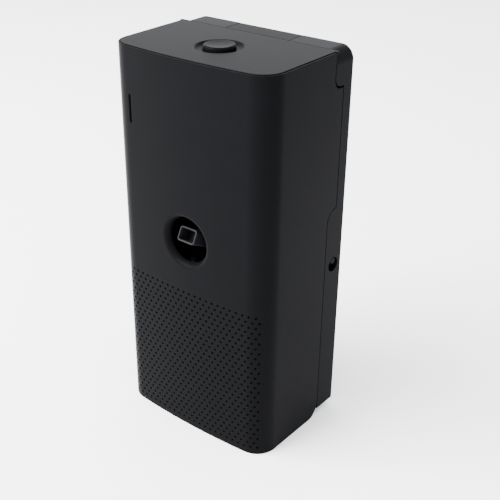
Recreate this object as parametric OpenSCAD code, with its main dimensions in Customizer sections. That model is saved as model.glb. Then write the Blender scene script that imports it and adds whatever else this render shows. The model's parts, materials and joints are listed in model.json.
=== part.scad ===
/* [Case] */
// Width over the sides
case_w = 101; // [96:1:125]
// Depth from the middle of the bowed front to the flat back
case_d = 70; // [67:1:86]
// Height of the top face
case_h = 215; // [212:1:265]
// Wall of the shells
wall = 2.2; // [1.8:0.1:2.6]
// Radius of the upright front corners
corner_r = 12.6; // [8:0.2:15]
// Rise of the bowed front over the full width
bow = 2.85; // [1:0.05:4.5]
// Radius of the rear shell's upper corners
shoulder_r = 7; // [4:0.5:10]

/* [Side seam] */
// Depth of the rear shell's ears, from the back forward
ear_d = 14.7; // [13:0.1:18]
// Depth of the rear shell between its ears
strip_d = 7.1; // [6:0.1:9]
// Height where the lower ear ends
lower_ear_top = 131; // [110:1:150]
// Height where the upper ear begins
upper_ear_bottom = 197.1; // [190:0.1:205]
// Corner radius of the upper ear
upper_ear_r = 5; // [2:0.5:7]
// Gap between cover and rear shell
seam_gap = 0.4; // [0.3:0.1:0.8]
// Gap under the upper ear, which the cover's tab rises into as it opens
tab_rise_gap = 1.1; // [0.9:0.1:1.6]
// Height of the rear shell's underside above the base
rear_lift = 4.2; // [3:0.1:6]

/* [Top] */
// Depth of the rear shell's strip behind the top plate
top_strip_d = 12.5; // [11:0.1:14]
// Thickness of the top plate
cap_t = 2.6; // [2.2:0.1:3.2]
// Radius of the shallow dish round the button
dish_r = 12.4; // [11:0.1:15]
// Depth of the dish
dish_depth = 1.4; // [0.8:0.1:1.6]
// Radius of the release button
button_r = 8.2; // [6:0.1:9]
// How far the button stands above the top plate
button_rise = 1.2; // [0.6:0.1:2]
// Travel of the button
button_travel = 2; // [1.6:0.1:2.4]
// Half width of the keeper plate on the rear strip
keeper_half_w = 20.3; // [14:0.1:26]

/* [Hinge] */
// Radius of the cover's lower rear corner, which is centred on the hinge
hinge_r = 9; // [8:0.5:11]
// Radius of the hinge pins
hinge_pin_r = 2; // [1.5:0.1:2.5]

/* [Spray port] */
// Height of the centre of the funnel
port_z = 119; // [110:1:124]
// Radius of the funnel at the front face
port_r = 14.2; // [12:0.1:16]
// Radius of the funnel at its inner end
port_inner_r = 12.7; // [9.8:0.1:13]
// Outer width of the spout
spout_w = 11.4; // [8:0.1:12]
// Outer height of the spout
spout_h = 8; // [5:0.1:8.4]
// Upward tilt of the spout
spout_tilt = 27; // [20:1:30]

/* [Refill can] */
// Radius of the refill can
can_r = 26; // [21:0.5:27]
// Height of the can from its base to its shoulder
can_body_h = 76; // [60:1:78]

/* [Wall fixing] */
// Radius of the round entry of the keyhole
keyhole_r = 4; // [3.5:0.1:5]
// Half width of the keyhole's slot
keyhole_slot_r = 1.8; // [1.6:0.1:2.2]

/* [Gears] */
// Tooth module of every gear
gear_m = 0.5; // [0.5:0.05:0.55]
// Teeth of the motor pinion and of the first gear's small wheel
pinion_teeth = 10; // [10:1:11]
// Teeth of both large wheels
wheel_teeth = 36; // [34:1:38]

/* [Hidden] */
$fn = 48;

// Colours
shell_black = [0.16, 0.16, 0.17];
cap_black = [0.2, 0.2, 0.21];
frame_grey = [0.26, 0.26, 0.28];
steel = [0.72, 0.72, 0.74];
brass = [0.8, 0.66, 0.35];
gear_white = [0.9, 0.9, 0.86];

// Case
half_w = case_w / 2;
front_y = -case_d / 2;
rear_y = case_d / 2;
bow_r = (half_w * half_w + bow * bow) / (2 * bow);
bow_y = front_y + bow_r;
corner_x = half_w - corner_r;
corner_y = bow_y - sqrt(pow(bow_r - corner_r, 2) - corner_x * corner_x);
inner_x = half_w - wall;
seam_y = rear_y - ear_d;
strip_y = rear_y - strip_d;
lower_ear_r = strip_y - seam_y - 0.1;
cap_rear_y = rear_y - top_strip_d - seam_gap;
cap_z = case_h - cap_t;
// The cover's thin rim stands round the top plate, a little lower, with a groove between them
rim_t = 0.8;
rim_drop = 0.4;
rim_play = 0.1;
cap_groove = 0.3;
cap_groove_d = 1.2;
shell_top = case_h - rim_drop;
dish_slope = 1.2;
hinge_y = seam_y - seam_gap - hinge_r;
hinge_z = hinge_r;

// Inner frame: the panel keeps its depth from the rear face, and the can stands just in front of it
side_clear = 1.7;
frame_x = inner_x - side_clear;
panel_inset = 10.5;
panel_y = rear_y - panel_inset;
can_gap = 1.5;
can_y = panel_y - can_gap - can_r;
panel_t = 2;
panel_back = panel_y + panel_t;
frame_bottom = hinge_z - 1;
frame_top = case_h - 18.5;
shelf_z = hinge_z + 1;
can_z = shelf_z + 2;
arm_t = 3;
hinge_gap = 0.3;
pin_play = 0.05;
snap_z = 97;
snap_y = rear_y - 7.15;
snap_hole_r = 4.2;
snap_dome_r = 2.8;
snap_tip_r = 1.6;
snap_reach = 1.2;
// The domes bear on the upper rear edge of their holes
snap_dome_y = snap_y + 1.5;
snap_dome_z = snap_z + 1.2;

// Button and latch
button_y = (front_y + cap_rear_y) / 2 - 0.2;
button_gap = 0.25;
button_flange_r = button_r + 1.4;
button_top = case_h + button_rise;
flange_z = cap_z - 0.3;
flange_t = 1.8;
arm_top = cap_z - 4.4;
arm_bar_t = 1.6;
arm_bottom = arm_top - arm_bar_t;
latch_play = 0.3;
lip_y = rear_y - 10.7;
lip_t = 2;
lip_z = arm_top + 1;
barb_release = 0.7;
barb_z = lip_z + button_travel - barb_release;
barb_d = 2.4;
bracket_x = 12.4;
bracket_half_d = 7;
bracket_t = 1.4;
bracket_floor = cap_z - 13.4;
bracket_screw_x = 16.2;

// Spray head
cup_z = can_z + can_body_h + 5;
stem_z = cup_z + 8;
head_r = 9;
head_bottom = stem_z + 5;
head_top = port_z + 10;
spout_y = front_y + 1.7;
spout_z = port_z + 3.3;
spout_wall = 0.8;

// Gear train, seen from the front: every axle runs along Y
gear_x = 24;
lever_arm = gear_x;
lever_z = head_top + 8;
sector_teeth = 72;
small_teeth = 12;
pressure = 20;
addendum = 0.65;
dedendum = 1.2;
tooth_slack = 0.12;
function mesh_distance(a, b) = gear_m * (a + b) / 2;
gear_2_z = lever_z + mesh_distance(sector_teeth, small_teeth);
gear_1_z = gear_2_z + mesh_distance(wheel_teeth, pinion_teeth);
motor_z = gear_1_z + mesh_distance(wheel_teeth, pinion_teeth);
plate_y = panel_y - 24.5;
plate_t = 2;
layer_1 = plate_y + 3.5;
layer_2 = plate_y + 7;
layer_3 = plate_y + 11;
wheel_t = 3;
lever_t = 4;
boss_y = plate_y + 16;
axle_r = 1;
lever_axle_r = 1.5;
run_play = 0.05;
foot_r = 3;
foot_z = head_top + foot_r + 0.05;
post_r = 2.6;
post_places = [
  [gear_x - 13.5, lever_z + 10], [gear_x + 14.5, lever_z - 2],
  [gear_x - 13.5, motor_z + 7], [gear_x + 14.5, motor_z + 7]
];
motor_r = 10;
motor_flat = 7.5;
motor_len = 22;
motor_wall = 1;
endcap_t = 2.5;

// Batteries: two upright cells in a box beside the gears
cell_r = 7.25;
cell_h = 49.5;
nub_r = 2.7;
nub_h = 1;
cell_x = [-19.5, -4];
cell_y = plate_y + 8;
bay_wall = 1.5;
bay_left = cell_x[0] - cell_r - 0.75;
bay_right = cell_x[1] + cell_r + 0.75;
bay_bottom = lever_z + 2.5;
bay_back = cell_y + cell_r + 0.4;
contact_t = 0.4;
cell_spring_h = 4.2;
bay_top = bay_bottom + contact_t * 2 + cell_spring_h + cell_h + nub_h;

// Circuit board in its own bay on the left
board_t = 1.6;
board_y = plate_y - 12;
board_bottom = bay_bottom + 1;
board_top = bay_top + 1.5;
board_left = -frame_x + 0.3;
board_right = bay_left - 0.1;
slot_x = -36.7;
slot_z = board_top - 21.5;
slot_h = 15.3;
slot_r = 0.7;
power_z = board_bottom + 10;
mode_z = board_bottom + 22;
knob_w = 3;
knob_h = 4;
board_screw_places = [[board_left + 3.2, board_bottom + 3.6], [board_right - 4, board_top - 4]];
chassis_screw_places = [for (side = [-1, 1], z = [30, frame_top - 18]) [side * (frame_x - 5.5), z]];

// ---------- helpers ----------

module block(x0, x1, y0, y1, z0, z1) {
  translate([x0, y0, z0]) cube([x1 - x0, y1 - y0, z1 - z0]);
}

module rod_x(r, x0, x1, y, z) {
  translate([x0, y, z]) rotate([0, 90, 0]) cylinder(r = r, h = x1 - x0);
}

module rod_y(r, y0, y1, x, z) {
  translate([x, y1, z]) rotate([90, 0, 0]) cylinder(r = r, h = y1 - y0);
}

module rod_z(r, z0, z1, x, y) {
  translate([x, y, z0]) cylinder(r = r, h = z1 - z0);
}

// A side view, drawn with Y to the right and Z up, pushed through the width x0 to x1
module side_slab(x0, x1) {
  translate([x0, 0, 0]) rotate([90, 0, 90]) linear_extrude(x1 - x0) children();
}

// A front view, drawn with X to the right and Z up, pushed from y0 back to y1
module front_slab(y0, y1) {
  translate([0, y1, 0]) rotate([90, 0, 0]) linear_extrude(y1 - y0) children();
}

// Pan-head screw with its head's underside at the origin and its shank along +Z
module screw(r, length) {
  head_h = r * 1.4;
  difference() {
    union() {
      translate([0, 0, -head_h]) cylinder(r = r * 2, h = head_h);
      cylinder(r = r, h = length);
    }
    for (turn = [0, 90])
      rotate([0, 0, turn]) translate([-r * 1.3, -r * 0.22, -head_h - 0.1])
        cube([r * 2.6, r * 0.44, head_h * 0.6]);
  }
}

// Screw whose shank points along +Y from the face at y
module screw_back(r, length, x, y, z) {
  translate([x, y, z]) rotate([-90, 0, 0]) screw(r, length);
}

function unit(v) = v / norm(v);
function heading(path, i) = unit(path[min(i + 1, len(path) - 1)] - path[max(i - 1, 0)]);
function across(path, i) = unit(cross(heading(path, i), [0.31, 0.27, 0.91]));
function ring_point(path, i, r, a) =
  path[i] + r * (cos(a) * across(path, i) + sin(a) * cross(heading(path, i), across(path, i)));

// Closed round tube along a path
module tube(path, r, sides = 8) {
  rings = len(path);
  points = [for (i = [0 : rings - 1], k = [0 : sides - 1]) ring_point(path, i, r, 360 * k / sides)];
  walls = [for (i = [0 : rings - 2], k = [0 : sides - 1])
    [i * sides + k, (i + 1) * sides + k, (i + 1) * sides + (k + 1) % sides, i * sides + (k + 1) % sides]];
  start = [for (k = [0 : sides - 1]) k];
  finish = [for (k = [sides - 1 : -1 : 0]) (rings - 1) * sides + k];
  polyhedron(points = points, faces = concat(walls, [start, finish]));
}

function helix(r0, r1, height, turns, steps) =
  [for (i = [0 : steps]) let (t = i / steps, a = 360 * turns * t, r = r0 + (r1 - r0) * t)
    [r * cos(a), r * sin(a), height * t]];

module spring(r0, r1, height, turns, wire_r) {
  translate([0, 0, wire_r])
    tube(helix(r0, r1, height - 2 * wire_r, turns, ceil(turns * 14)), wire_r, 6);
}

// Smooth curve through a few chosen points
function curve_point(a, b, c, d, t) =
  0.5 * ((2 * b) + (c - a) * t + (2 * a - 5 * b + 4 * c - d) * t * t + (3 * b - a - 3 * c + d) * t * t * t);
function smooth(stops, steps = 5) = concat(
  [for (i = [0 : len(stops) - 2], k = [0 : steps - 1])
    curve_point(stops[max(i - 1, 0)], stops[i], stops[i + 1], stops[min(i + 2, len(stops) - 1)], k / steps)],
  [stops[len(stops) - 1]]);

// ---------- outlines ----------

// Plan of the front shell: bowed front, round corners, straight sides back to rear_edge
module front_plan(inset, rear_edge) {
  fan_y = front_y - 1;
  fan_x = corner_x * (bow_y - fan_y) / (bow_y - corner_y);
  for (side = [-1, 1])
    translate([side * corner_x, corner_y]) circle(r = corner_r - inset);
  translate([inset - half_w, corner_y]) square([case_w - 2 * inset, rear_edge - corner_y]);
  intersection() {
    translate([0, bow_y]) circle(r = bow_r - inset, $fn = 360);
    polygon([[-corner_x, corner_y + 0.01], [-fan_x, fan_y], [fan_x, fan_y], [corner_x, corner_y + 0.01]]);
  }
}

// Side view of the rear shell, grown forward by grow
module rear_side(grow) {
  low = -1;
  high = case_h + 1;
  lower_r = lower_ear_r + grow;
  upper_r = upper_ear_r + grow;
  upper_z = upper_ear_bottom - (grow > 0 ? tab_rise_gap : 0);
  edge = seam_y - grow;
  translate([strip_y - grow, low]) square([rear_y + 1 - strip_y + grow, high - low]);
  // lower ear
  translate([edge, low]) square([ear_d, lower_ear_top + grow - lower_r - low]);
  translate([edge + lower_r, low]) square([ear_d, lower_ear_top + grow - low]);
  translate([edge + lower_r, lower_ear_top + grow - lower_r]) circle(r = lower_r);
  // upper ear
  translate([edge, upper_z + upper_r]) square([ear_d, high - upper_z - upper_r]);
  translate([edge + upper_r, upper_z]) square([ear_d, high - upper_z]);
  translate([edge + upper_r, upper_z + upper_r]) circle(r = upper_r);
}

// Side view of the front shell: everything in front of the seam, round about the hinge below
module front_side() {
  translate([front_y - 1, 0]) square([hinge_y - front_y + 1, case_h]);
  translate([hinge_y, hinge_z]) circle(r = hinge_r);
  translate([hinge_y - 1, hinge_z]) square([hinge_r + 1, 4]);
  difference() {
    translate([hinge_y - 1, hinge_z + 2]) square([strip_y - hinge_y + 1, case_h]);
    rear_side(seam_gap);
  }
}

// Front view of the rear shell with its round shoulders
module rear_front(inset) {
  r = shoulder_r - inset;
  x = half_w - inset;
  top = case_h - inset;
  bottom = rear_lift + inset;
  translate([-x, bottom]) square([2 * x, top - r - bottom]);
  translate([-x + r, bottom]) square([2 * (x - r), top - bottom]);
  for (side = [-1, 1])
    translate([side * (x - r), top - r]) circle(r = r);
}

// ---------- case ----------

module rear_shell() {
  boss_r = 3.4;
  color(shell_black) difference() {
    union() {
      difference() {
        intersection() {
          front_slab(seam_y - 1, rear_y) rear_front(0);
          side_slab(-half_w, half_w) rear_side(0);
        }
        front_slab(seam_y - 2, rear_y - wall) rear_front(wall);
      }
      for (place = chassis_screw_places)
        rod_y(boss_r, panel_back, rear_y - wall, place[0], place[1]);
    }
    // notch that the rear corners of the top plate sit in
    block(-half_w - 1, half_w + 1, seam_y - 1, cap_rear_y + seam_gap, cap_z - 0.4, case_h + 1);
    // recess and slot for the keeper
    block(-keeper_half_w - 0.2, keeper_half_w + 0.2, seam_y, rear_y + 1, case_h - 1.4, case_h + 1);
    block(-8.2, 8.2, lip_y - 0.1, lip_y + lip_t + 0.1, cap_z - 1, case_h);
    // snap holes in the ears
    rod_x(snap_hole_r, -half_w - 1, half_w + 1, snap_y, snap_z);
    for (place = chassis_screw_places)
      rod_y(1.3, panel_back - 1, rear_y - wall - 0.2, place[0], place[1]);
    // keyhole for the wall screw
    rod_y(keyhole_r, rear_y - wall - 1, rear_y + 1, 0, keyhole_z());
    rod_y(keyhole_slot_r, rear_y - wall - 1, rear_y + 1, 0, keyhole_z() + 8);
    block(-keyhole_slot_r, keyhole_slot_r, rear_y - wall - 1, rear_y + 1, keyhole_z(), keyhole_z() + 8);
  }
}

function keyhole_z() = case_h - 50;

module latch_keeper() {
  color(shell_black) union() {
    block(-keeper_half_w, keeper_half_w, cap_rear_y + seam_gap, rear_y - 0.1, case_h - 1.4, case_h);
    block(-8, 8, lip_y, lip_y + lip_t, lip_z, case_h - 1.2);
  }
}

module front_shell() {
  boss_r = 4.2;
  funnel_d = 2.6;
  funnel_back = front_y + wall + 1.6;
  funnel_slope = (port_r - port_inner_r) / funnel_d;
  color(shell_black) difference() {
    union() {
      difference() {
        intersection() {
          linear_extrude(shell_top) front_plan(0, rear_y);
          side_slab(-half_w - 1, half_w + 1) front_side();
        }
        translate([0, 0, wall]) linear_extrude(case_h) front_plan(wall, rear_y + 1);
        translate([0, 0, cap_z]) linear_extrude(case_h) front_plan(rim_t, rear_y + 1);
        block(-inner_x, inner_x, hinge_y + 1, rear_y, -1, wall + 1);
      }
      // collar round the spray port
      rod_y(port_r + 0.3, front_y + wall - 0.5, funnel_back, 0, port_z);
      // bosses for the hinge pins
      for (side = [-1, 1])
        rod_x(boss_r, side > 0 ? frame_x + hinge_gap : -inner_x - 0.2,
              side > 0 ? inner_x + 0.2 : -frame_x - hinge_gap, hinge_y, hinge_z);
    }
    // funnel and its straight inner end
    translate([0, front_y - 1, port_z]) rotate([-90, 0, 0])
      cylinder(r1 = port_r + funnel_slope, r2 = port_inner_r, h = funnel_d + 1);
    rod_y(port_inner_r, front_y + funnel_d - 0.1, funnel_back + 1, 0, port_z);
    // slot in front of the light sensor
    block(slot_x - slot_r, slot_x + slot_r, front_y - 1, front_y + 8,
          slot_z + slot_r, slot_z + slot_h - slot_r);
    for (z = [slot_z + slot_r, slot_z + slot_h - slot_r])
      rod_y(slot_r, front_y - 1, front_y + 8, slot_x, z);
    rod_x(hinge_pin_r + pin_play, -inner_x - 1.1, inner_x + 1.1, hinge_y, hinge_z);
  }
}

module top_cap() {
  color(cap_black) difference() {
    union() {
      translate([0, 0, case_h - cap_t / 2])
        linear_extrude(cap_t / 2) front_plan(rim_t + cap_groove, cap_rear_y);
      translate([0, 0, cap_z])
        linear_extrude(cap_t - cap_groove_d) front_plan(rim_t + rim_play, cap_rear_y - 0.5);
      // rear corners, which sit over the rear shell's ears
      block(-half_w, half_w, seam_y, cap_rear_y, case_h - cap_groove_d - 0.2, case_h);
    }
    translate([0, button_y, case_h - dish_depth])
      cylinder(r1 = dish_r - dish_slope, r2 = dish_r, h = dish_depth);
    rod_z(button_r + button_gap, cap_z - 1, case_h + 1, 0, button_y);
    for (side = [-1, 1])
      rod_z(0.95, cap_z - 1, cap_z + 1.9, side * bracket_screw_x, button_y);
  }
}

module sensor_lens() {
  slot_face = front_y + slot_x * slot_x / (2 * bow_r);
  flange_y = slot_face + wall + 0.25;
  color([0.05, 0.05, 0.06]) union() {
    block(slot_x - 0.55, slot_x + 0.55, slot_face + 0.9, flange_y + 0.2, slot_z + 0.8, slot_z + slot_h - 0.8);
    block(slot_x - 2.5, slot_x + 2.5, flange_y, flange_y + 1.2, slot_z - 1.5, slot_z + slot_h + 1.5);
    block(slot_x - 1.5, slot_x + 1.5, flange_y + 1, board_y - 7.5, slot_z + 1, slot_z + slot_h - 1);
  }
}

// ---------- release button and latch ----------

module latch_bracket() {
  color(frame_grey) difference() {
    union() {
      block(-bracket_x, bracket_x, button_y - bracket_half_d, button_y + bracket_half_d,
            bracket_floor, bracket_floor + bracket_t);
      for (side = [-1, 1]) {
        block(side > 0 ? bracket_x - bracket_t : -bracket_x, side > 0 ? bracket_x : bracket_t - bracket_x,
              button_y - bracket_half_d, button_y + bracket_half_d, bracket_floor, cap_z);
        block(side > 0 ? 11.5 : -19, side > 0 ? 19 : -11.5, button_y - 4, button_y + 4, cap_z - 1.2, cap_z);
      }
      rod_z(2, bracket_floor + 0.5, bracket_floor + bracket_t + 1.5, 0, button_y);
    }
    for (side = [-1, 1])
      rod_z(1.05, cap_z - 2, cap_z + 1, side * bracket_screw_x, button_y);
    // the button's flange passes between the side walls
    rod_z(button_flange_r + 0.3, bracket_floor + bracket_t + 2, cap_z + 1, 0, button_y);
  }
}

module bracket_screws() {
  color(steel) for (side = [-1, 1])
    translate([side * bracket_screw_x, button_y, cap_z - 1.2]) screw(0.9, 3);
}

module release_button() {
  color(cap_black) difference() {
    union() {
      rod_z(button_r, flange_z - flange_t, button_top - 0.8, 0, button_y);
      translate([0, button_y, button_top - 0.8]) cylinder(r1 = button_r, r2 = button_r - 0.8, h = 0.8);
      rod_z(button_flange_r, flange_z - flange_t, flange_z, 0, button_y);
    }
    difference() {
      rod_z(button_r - 1.6, flange_z - flange_t - 1, button_top - 2, 0, button_y);
      rod_z(2.5, flange_z - flange_t - 2, button_top, 0, button_y);
    }
    rod_z(0.95, arm_top - 1, arm_top + 5, 0, button_y);
  }
  color(cap_black) difference() {
    rod_z(2.5, arm_top, flange_z - flange_t + 0.01, 0, button_y);
    rod_z(0.95, arm_top - 1, arm_top + 5, 0, button_y);
  }
}

module latch_arm() {
  barb_y = lip_y + lip_t + latch_play;
  color(frame_grey) difference() {
    union() {
      block(-5, 5, button_y - 6, barb_y + barb_d, arm_bottom, arm_top);
      side_slab(-5, 5) polygon([
        [barb_y, arm_top - 0.1], [barb_y, barb_z], [barb_y + 0.8, barb_z], [barb_y + barb_d, arm_top - 0.1]
      ]);
    }
    rod_z(1.05, arm_bottom - 1, arm_top + 1, 0, button_y);
  }
}

module arm_screw() {
  color(steel) translate([0, button_y, arm_bottom]) screw(0.9, 5);
}

module button_spring() {
  color(steel) translate([0, button_y, bracket_floor + bracket_t])
    spring(3.4, 3.4, arm_bottom - bracket_floor - bracket_t, 4.5, 0.25);
}

// ---------- inner frame ----------

module chassis() {
  color(frame_grey) difference() {
    union() {
      // upright panel
      block(-frame_x, frame_x, panel_y, panel_back, frame_bottom, frame_top);
      // shelf and seat for the can
      block(-can_r - 3, can_r + 3, can_y, panel_back, shelf_z, can_z);
      rod_z(can_r + 2.5, shelf_z, can_z + 6, 0, can_y);
      for (side = [-1, 1])
        side_slab(side * (can_r + 1.5) - 1, side * (can_r + 1.5) + 1)
          polygon([[can_y + 5, can_z], [panel_y + 1, can_z], [panel_y + 1, can_z + 24]]);
      hinge_arms();
      snap_tongues();
      battery_bay();
      board_bay();
      gear_bosses();
    }
    rod_z(can_r + 0.3, can_z, can_z + 30, 0, can_y);
    block(-12, 12, front_y, can_y, can_z, can_z + 10);
    rod_x(hinge_pin_r, -frame_x - 1, frame_x + 1, hinge_y, hinge_z);
    for (place = chassis_screw_places)
      rod_y(1.5, panel_y - 1, panel_back + 1, place[0], place[1]);
    for (place = post_places)
      rod_y(1, plate_y, panel_y, place[0], place[1]);
    for (place = board_screw_places)
      rod_y(0.9, board_y, board_y + 12, place[0], place[1]);
    for (z = [gear_1_z, gear_2_z])
      rod_y(axle_r, boss_y - 1, panel_y, gear_x, z);
    rod_y(lever_axle_r, boss_y - 1, panel_y, gear_x, lever_z);
  }
}

// Arms that carry the hinge pins
module hinge_arms() {
  reach_y = min(hinge_y - 5.4, panel_y);
  for (side = [-1, 1]) {
    x0 = side > 0 ? frame_x - arm_t : -frame_x;
    rod_x(5.4, x0, x0 + arm_t, hinge_y, hinge_z);
    block(x0, x0 + arm_t, reach_y, panel_back, hinge_z, hinge_z + 20);
  }
}

// Tongues whose domes snap into the holes in the ears
module snap_tongues() {
  tongue_t = 1.5;
  for (side = [-1, 1]) {
    x0 = side > 0 ? inner_x - 1.4 - tongue_t : -inner_x + 1.4;
    block(x0, x0 + tongue_t, panel_y - 2, snap_y + 4.2, snap_z - 7, snap_z + 7);
    translate([side * (inner_x - 1.6), snap_dome_y, snap_dome_z]) rotate([0, side * 90, 0])
      cylinder(r1 = snap_dome_r, r2 = snap_tip_r, h = 1.6 + snap_reach);
  }
}

module battery_bay() {
  for (x = [bay_left - bay_wall, bay_right])
    block(x, x + bay_wall, plate_y, panel_y + 1, bay_bottom - bay_wall, bay_top + bay_wall);
  for (z = [bay_bottom - bay_wall, bay_top])
    block(bay_left - 1, bay_right + 1, plate_y, bay_back + bay_wall, z, z + bay_wall);
  block(bay_left - 1, bay_right + 1, bay_back, bay_back + bay_wall, bay_bottom - 1, bay_top + 1);
}

module board_bay() {
  block(-frame_x, -frame_x + 1.5, board_y + board_t, panel_y + 1, board_bottom, board_top - 4);
  block(bay_left - bay_wall, bay_left, board_y + board_t, plate_y + 1, board_bottom + 16, board_top - 16);
  for (place = board_screw_places)
    rod_y(2.4, board_y + board_t, panel_y + 1, place[0], place[1]);
}

module gear_bosses() {
  for (z = [gear_1_z, gear_2_z])
    rod_y(2.4, boss_y, panel_y + 1, gear_x, z);
  rod_y(3.2, boss_y, panel_y + 1, gear_x, lever_z);
  for (place = post_places)
    rod_y(post_r, plate_y + plate_t, panel_y + 1, place[0], place[1]);
}

module hinge_pins() {
  color(steel) for (side = [-1, 1]) {
    x0 = side > 0 ? frame_x - arm_t : -inner_x - 0.9;
    rod_x(hinge_pin_r, x0, x0 + inner_x + 0.9 - frame_x + arm_t, hinge_y, hinge_z);
  }
}

module chassis_screws() {
  color(steel) for (place = chassis_screw_places)
    screw_back(1.25, 7.5, place[0], panel_y, place[1]);
}

// ---------- refill can and spray head ----------

module refill_can() {
  t = 0.6;
  h = can_body_h;
  color([0.9, 0.9, 0.9]) translate([0, can_y, can_z]) rotate_extrude() polygon([
    [0, 5], [can_r * 0.6, 3.4], [can_r - 3, 0], [can_r - 0.6, 0], [can_r, 0.8], [can_r, h],
    [16.4, h + 5], [16.4, h + 4.2], [can_r - t, h - 0.3], [can_r - t, 1.2], [can_r - 2.7, 0.8],
    [can_r * 0.6, 4], [0, 5.6]
  ]);
}

module valve_cup() {
  color(steel) translate([0, can_y, cup_z]) rotate_extrude() polygon([
    [2.1, 4], [5.6, 4], [5.6, -1], [12.6, -1], [12.6, 1.6], [16.4, 1.6], [16.4, 0], [15.8, 0],
    [15.8, 1], [13.2, 1], [13.2, -1.6], [5, -1.6], [5, 3.4], [2.1, 3.4]
  ]);
}

module valve_stem() {
  color([0.85, 0.85, 0.82]) difference() {
    union() {
      rod_z(2, stem_z - 9, head_bottom + 3, 0, can_y);
      rod_z(3.6, stem_z - 9, stem_z - 8.2, 0, can_y);
    }
    rod_z(0.6, stem_z - 2, head_bottom + 4, 0, can_y);
  }
}

module spray_head() {
  bite = 1;
  length = (can_y - head_r + bite - spout_y) / cos(spout_tilt);
  color([0.12, 0.12, 0.13]) difference() {
    union() {
      rod_z(head_r, head_bottom, head_top, 0, can_y);
      spout_place() round_bar(spout_w, spout_h, 1.6, length);
    }
    spout_place() translate([0, 0, -0.01])
      round_bar(spout_w - 2 * spout_wall, spout_h - 2 * spout_wall, 1, 9);
    spout_place() cylinder(r = 0.7, h = length - 2);
    rod_z(2, head_bottom - 1, head_bottom + 3, 0, can_y);
    rod_z(0.7, head_bottom + 2, head_bottom + 8, 0, can_y);
  }
}

// Puts the mouth of the spout at its place, with +Z running back down the spout
module spout_place() {
  translate([0, spout_y, spout_z]) rotate([-90 - spout_tilt, 0, 0]) children();
}

// Bar with a rounded rectangular section
module round_bar(w, h, r, length) {
  linear_extrude(length) {
    square([w - 2 * r, h], center = true);
    square([w, h - 2 * r], center = true);
    for (x = [-1, 1], y = [-1, 1])
      translate([x * (w / 2 - r), y * (h / 2 - r)]) circle(r = r, $fn = 24);
  }
}

// ---------- gear train ----------

function involute(a) = tan(a) * 180 / PI - a;
function half_tooth(r, n) =
  90 / n * (1 - tooth_slack) + involute(pressure)
  - involute(acos(min(1, gear_m * n / 2 * cos(pressure) / r)));
function polar(r, a) = [r * cos(a), r * sin(a)];

// Outline of the tooth at angle a: up one flank, across the tip and down the other
function tooth(n, a) =
  let (pitch = gear_m * n / 2,
       root = pitch - gear_m * dedendum,
       base = max(root + 0.05, pitch * cos(pressure)),
       tip = pitch + gear_m * addendum,
       radii = [root, base, (base + tip) / 2, tip],
       halves = [for (r = radii) half_tooth(max(r, base), n)])
  concat([for (i = [0 : 3]) polar(radii[i], a - halves[i])],
         [for (i = [3 : -1 : 0]) polar(radii[i], a + halves[i])]);

// Spur gear standing on y0, with a tooth or the middle of a gap at angle phase
module spur(n, phase, y0, thickness, z) {
  translate([gear_x, y0 + thickness, z]) rotate([90, 0, 0]) linear_extrude(thickness)
    polygon([for (k = [0 : n - 1]) each tooth(n, phase + 360 * k / n)]);
}

down = -90;
function gap_up(n) = 90 + 180 / n;

module gear_stage_1() {
  color(gear_white) difference() {
    union() {
      spur(wheel_teeth, gap_up(wheel_teeth), layer_1, wheel_t, gear_1_z);
      spur(pinion_teeth, down, layer_2 - 0.6, wheel_t + 0.6, gear_1_z);
    }
    rod_y(axle_r + run_play, layer_1 - 1, layer_3, gear_x, gear_1_z);
  }
}

module gear_stage_2() {
  color(gear_white) difference() {
    union() {
      spur(wheel_teeth, gap_up(wheel_teeth), layer_2, wheel_t, gear_2_z);
      spur(small_teeth, down, layer_3 - 1.1, lever_t + 1.1, gear_2_z);
    }
    rod_y(axle_r + run_play, layer_2 - 1, boss_y, gear_x, gear_2_z);
  }
}

module motor_pinion() {
  color(brass) difference() {
    spur(pinion_teeth, down, layer_1, wheel_t, motor_z);
    rod_y(axle_r, layer_1 - 1, layer_2, gear_x, motor_z);
  }
}

module press_lever() {
  root = gear_m * (sector_teeth / 2 - dedendum);
  reach = 3;
  angle = atan2(lever_z - foot_z, lever_arm);
  arm_len = norm([lever_z - foot_z, lever_arm]);
  color(gear_white) difference() {
    union() {
      translate([gear_x, layer_3 + lever_t, lever_z]) rotate([90, 0, 0]) linear_extrude(lever_t) {
        circle(r = 5);
        polygon(concat([[0, 0]],
          [for (k = [-reach - 1 : reach])
            each tooth(sector_teeth, gap_up(sector_teeth) + 360 * k / sector_teeth)]));
        rotate(180 + angle) translate([0, -2.4]) square([arm_len, 4.8]);
      }
      // foot that bears on the spray head
      rod_y(foot_r, can_y - 5, layer_3 + lever_t, 0, foot_z);
    }
    rod_y(lever_axle_r + run_play, layer_3 - 1, boss_y, gear_x, lever_z);
    // lightening hole
    rod_y(2.6, layer_3 - 1, boss_y, gear_x, lever_z + root * 0.62);
  }
}

module gear_axles() {
  color(steel) {
    for (z = [gear_1_z, gear_2_z])
      rod_y(axle_r, plate_y + 0.2, panel_y - 0.5, gear_x, z);
    rod_y(lever_axle_r, plate_y + 0.2, panel_y - 0.5, gear_x, lever_z);
  }
}

module gearbox_cover() {
  color(frame_grey) difference() {
    block(gear_x - 17, gear_x + 18, plate_y, plate_y + plate_t, lever_z - 5.5, motor_z + 10.5);
    for (z = [gear_1_z, gear_2_z])
      rod_y(axle_r + run_play, plate_y - 1, plate_y + 3, gear_x, z);
    rod_y(lever_axle_r + run_play, plate_y - 1, plate_y + 3, gear_x, lever_z);
    rod_y(3.2, plate_y - 1, plate_y + 3, gear_x, motor_z);
    for (place = post_places)
      rod_y(1.2, plate_y - 1, plate_y + 3, place[0], place[1]);
    // windows over the large wheel and the sector
    rod_y(4.5, plate_y - 1, plate_y + 3, gear_x, lever_z + 10.5);
  }
}

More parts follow.
